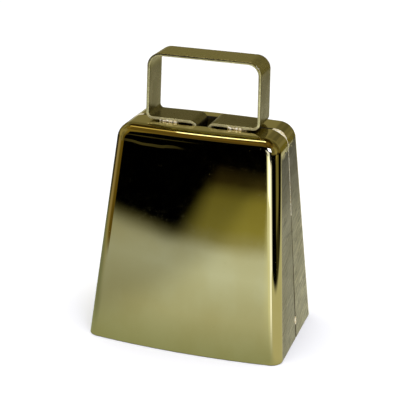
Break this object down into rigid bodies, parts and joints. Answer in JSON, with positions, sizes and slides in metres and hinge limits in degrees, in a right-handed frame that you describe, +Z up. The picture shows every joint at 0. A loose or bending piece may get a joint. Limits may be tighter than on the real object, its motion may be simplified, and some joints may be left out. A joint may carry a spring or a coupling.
{
  "type": "hand cowbell",
  "caption": "Flared sheet-metal cowbell with two brazed half shells, a rectangular flat-strap handle and a hanging ball clapper.",
  "frame": {"origin": "centre of the open mouth, on the plane that the rim stands on", "axes": "+Z up from the mouth to the handle, -Y out of the front face, +X across the width to the right seen from the front"},
  "size_m": [0.0898, 0.0654, 0.127],
  "materials": {
    "shell_plate": "mirror-polished brass plating, belt-ground on the side walls",
    "strap_plate": "polished brass plating on flat strap, brighter along the edges",
    "braze": "bright brazing filler, beaded or ground flush",
    "inner_steel": "drawn wire with a thin dull plating",
    "striker_steel": "turned steel, worn bright where it strikes"
  },
  "bodies": {
    "bell": {"front_shell": "shell_plate", "rear_shell": "shell_plate", "seam_braze_right": "braze", "seam_braze_left": "braze", "seam_tack_right": "braze", "seam_tack_left": "braze", "handle_strap": "strap_plate", "handle_braze_right": "braze", "handle_braze_left": "braze", "hanger_pin": "inner_steel"},
    "link": {"clapper_link": "inner_steel"},
    "clapper": {"clapper_rod": "inner_steel", "clapper_ball": "striker_steel"}
  },
  "joints": [
    {"name": "link_swing", "type": "hinge", "parent": "bell", "child": "link", "pos_m": [0, 0, 0.0875], "axis": [1, 0, 0], "range_deg": [-15, 15]},
    {"name": "clapper_swing", "type": "hinge", "parent": "link", "child": "clapper", "pos_m": [0, 0, 0.0778], "axis": [0, 1, 0], "range_deg": [-31, 31]}
  ]
}
